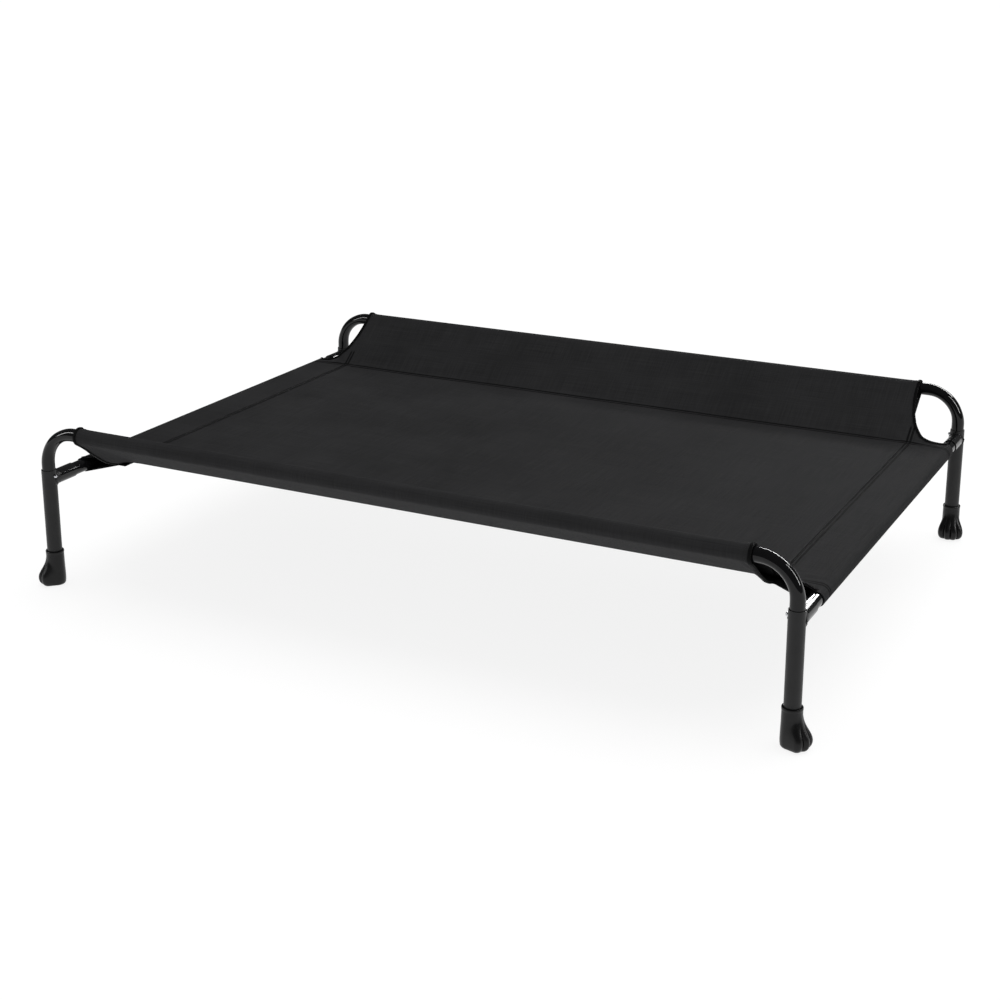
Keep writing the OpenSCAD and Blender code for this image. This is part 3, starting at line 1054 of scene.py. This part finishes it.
def inward_directions(path):
    """Unit (a, b) directions from the edge into the cloth."""
    along = np.gradient(path, axis=0)
    along /= np.linalg.norm(along, axis=1)[:, None]
    inward = np.column_stack([-along[:, 1], along[:, 0]])
    # The cloth is on the side of the larger a and the smaller b.
    for k, (da, db) in enumerate(inward):
        if da - db < 0:
            inward[k] = (-da, -db)
    # Averaged over five neighbours, so that the tape turns evenly.
    kernel = np.ones(5) / 5
    padded = np.vstack([inward[:1]] * 2 + [inward] + [inward[-1:]] * 2)
    inward = np.column_stack([np.convolve(padded[:, k], kernel, "valid") for k in (0, 1)])
    return inward / np.linalg.norm(inward, axis=1)[:, None]


def tape(name, side, end):
    """The folded tape, swept along the edge, with small puckers at its stitches."""
    path = tape_path(side, end)
    verts, uvs = [], []
    for (a, b), (da, db), length in zip(path, inward_directions(path), lengths_along(path)):
        even = PUCKER_EVEN * math.sin(length / MM * PUCKER_TURN + side)
        pucker = even + PUCKER_RANDOM * ripple(length, side, end, 90)
        for into, lift in TAPE_SECTION:
            wide = into + (pucker * 1.4 if into > 0.6 * TAPE_WIDTH else 0)
            p, _, _, normal = surface_frame(side, end, a + da * wide * MM, b + db * wide * MM)
            swell = max(pucker, 0) * 0.5 if 0.3 < into / TAPE_WIDTH < 0.9 else 0
            outwards = 1 if lift > TAPE_FOLD else -1
            verts.append(p + normal * (lift + outwards * swell) * MM)
            uvs.append((length, wide * MM))
    faces = tube_faces(len(path), len(TAPE_SECTION))
    made = piece(name, verts, faces, TAPE, sharp=60, uvs=uvs)
    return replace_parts(made, name.replace("tape", "binding"))


tapes = [tape("tape_" + corner, side, end) for corner, (side, end) in CORNERS.items()]


# Stitches --------------------------------------------------------------------

STITCH_PITCH = 4.0 * MM
STITCH = [  # rings of one stitch: (mm along, radius, mm above the cloth)
    (-1.55, 0.10, -0.10), (-1.1, 0.30, 0.10), (0.0, 0.36, 0.22), (1.1, 0.30, 0.10),
    (1.55, 0.10, -0.10),
]
STITCH_SIDES = 6
# How far the stitches seen from below stand under the plane of their seam.
STITCH_UNDER = 0.25 * MM


def add_stitch(verts, faces, place, along, normal):
    """One stitch, as a short rounded bar that dips into the cloth at both ends."""
    start = len(verts)
    across = np.cross(normal, along)
    for step, radius, lift in STITCH:
        centre = place + (along * step + normal * lift) * MM
        for a in round_angles(STITCH_SIDES):
            verts.append(centre + (across * math.cos(a) + normal * math.sin(a)) * radius * MM)
    faces.extend(tube_faces(len(STITCH), STITCH_SIDES, start))


def add_row(verts, faces, side, end, path, lift, flip):
    """Stitches along a path of (a, b), one every pitch."""
    length = lengths_along(path)
    for s in np.arange(STITCH_PITCH / 2, length[-1], STITCH_PITCH):
        a, b = (float(np.interp(s, length, path[:, k])) for k in (0, 1))
        a2, b2 = (float(np.interp(s + 0.5 * MM, length, path[:, k])) for k in (0, 1))
        p, along_a, along_b, normal = surface_frame(side, end, a, b)
        direction = along_a * (a2 - a) + along_b * (b2 - b)
        size = np.linalg.norm(direction)
        if size > 1e-9:
            add_stitch(verts, faces, p + normal * lift, direction / size, normal * flip)


def stitch_rows(side, end):
    """A corner's rows: path of (a, b), lift off the cloth, 1 on top or -1 below."""
    hem, sleeve_end = HEM_REACH[side], SLEEVE_END[side, end]
    for b in DECK_ROWS:
        yield [(HALF_X, b), (hem + 0.004, b)], 0.0, 1
    b = DECK_ROWS[0]
    yield [(HALF_X, b), (sleeve_end + FLAP_FADE, b)], -SEAM_DROP - STITCH_UNDER, -1
    for row in HEM_ROWS:
        yield [(hem + row, -DECK_HALF), (hem + row, HEM_ROWS_END)], 0.0, 1
    a = hem + HEM_ROWS[1]
    yield [(a, -DECK_HALF), (a, -0.050)], END_SEAM_Z - DECK_Z - STITCH_UNDER, -1
    a = sleeve_end + MOUTH_HEM - 0.0015
    yield [(a, RUN), (a, RUN + ARC + LOW_RUN * 0.9)], 0.0, 1
    path = tape_path(side, end)
    on_tape = path + inward_directions(path) * (TAPE_WIDTH - 1.4) * MM
    yield on_tape[2:-2], 0.75 * MM, 1


def build_stitches():
    verts, faces = [], []
    for side, end in CORNERS.values():
        for path, lift, flip in stitch_rows(side, end):
            add_row(verts, faces, side, end, np.array(path), lift, flip)
    return verts, faces


verts, faces = build_stitches()
threads = piece("stitching", verts, faces, THREAD, sharp=180)


# Stage, lights and camera ----------------------------------------------------


FLOOR_HALF, FLOOR_Z, FLOOR_GLOW = 40, -0.3 * MM, 0.86
# The room's strength as a light, to look at and in reflections.
AMBIENT, IN_VIEW, IN_REFLECTIONS = 0.42, 1.0, 0.1


def build_floor():
    """A floor that glows nearly as white as the room, with faint shadows on it."""
    corners = [(x * FLOOR_HALF, y * FLOOR_HALF, FLOOR_Z)
               for x, y in ((-1, -1), (1, -1), (1, 1), (-1, 1))]
    mesh = bpy.data.meshes.new("floor")
    mesh.from_pydata(corners, [], [(0, 1, 2, 3)])
    pale = Paint("floor_pale", (0.18, 0.18, 0.18), 0.9, Specular_IOR_Level=0.1)
    pale.shader.inputs["Emission Color"].default_value = (1, 1, 1, 1)
    pale.shader.inputs["Emission Strength"].default_value = FLOOR_GLOW
    mesh.materials.append(pale.material)
    new_object("floor", mesh)


def build_world():
    """A white room, with its own strength for each kind of ray."""
    world = bpy.data.worlds.new("studio")
    world.use_nodes = True
    nodes, links = world.node_tree.nodes, world.node_tree.links
    background = nodes["Background"]
    background.inputs["Color"].default_value = (1, 1, 1, 1)
    light_path = nodes.new("ShaderNodeLightPath")
    strength = background.inputs["Strength"]
    for ray, seen in (("Is Camera Ray", IN_VIEW), ("Is Glossy Ray", IN_REFLECTIONS)):
        level = nodes.new("ShaderNodeMapRange")
        level.inputs["To Min"].default_value = AMBIENT
        level.inputs["To Max"].default_value = seen
        links.new(light_path.outputs[ray], level.inputs["Value"])
        links.new(level.outputs["Result"], strength)
        strength = level.inputs["To Min"]
    bpy.context.scene.world = world


def face(obj, direction):
    """Turns a light or a camera to look in a direction."""
    obj.rotation_mode = "QUATERNION"
    obj.rotation_quaternion = direction.to_track_quat("-Z", "Y")


def build_lights():
    """A soft sun from above, and three strips of light round the bed."""
    sun = bpy.data.lights.new("overhead", "SUN")
    sun.energy, sun.angle = 1.72, math.radians(60)
    overhead = new_object("overhead", sun)
    overhead.rotation_euler = (math.radians(-14), math.radians(5), 0)
    overhead.visible_glossy = False

    # The strips only make highlights on the gloss and the satin black.
    target = Vector((0, 0, 0.2))
    for name, place, size, power in (
        ("strip_back", (0.75, 2.6, 1.6), (2.5, 0.22), 62),
        ("strip_right", (2.6, 0.4, 1.5), (0.2, 1.8), 40),
        ("strip_left", (-2.4, -1.6, 1.4), (0.2, 1.6), 20),
    ):
        light = bpy.data.lights.new(name, "AREA")
        light.shape = "RECTANGLE"
        light.size, light.size_y = size
        light.energy = power
        strip = new_object(name, light)
        strip.location = place
        face(strip, target - Vector(place))
        strip.visible_diffuse = False


def build_camera():
    """The camera's axis passes above the bed; its shift brings the bed to the middle."""
    camera = bpy.data.cameras.new("camera")
    camera.lens = 62.651
    camera.shift_y = -0.1
    camera.clip_start, camera.clip_end = 0.05, 200
    obj = new_object("camera", camera)
    obj.location = (1.28787, -2.57650, 1.12531)
    azimuth, elevation = math.radians(27.2317), math.radians(16.1348)
    face(obj, Vector((
        -math.sin(azimuth) * math.cos(elevation),
        math.cos(azimuth) * math.cos(elevation),
        -math.sin(elevation),
    )))
    bpy.context.scene.camera = obj


build_floor()
build_world()
build_lights()
build_camera()
bpy.context.scene.view_settings.view_transform = "Standard"
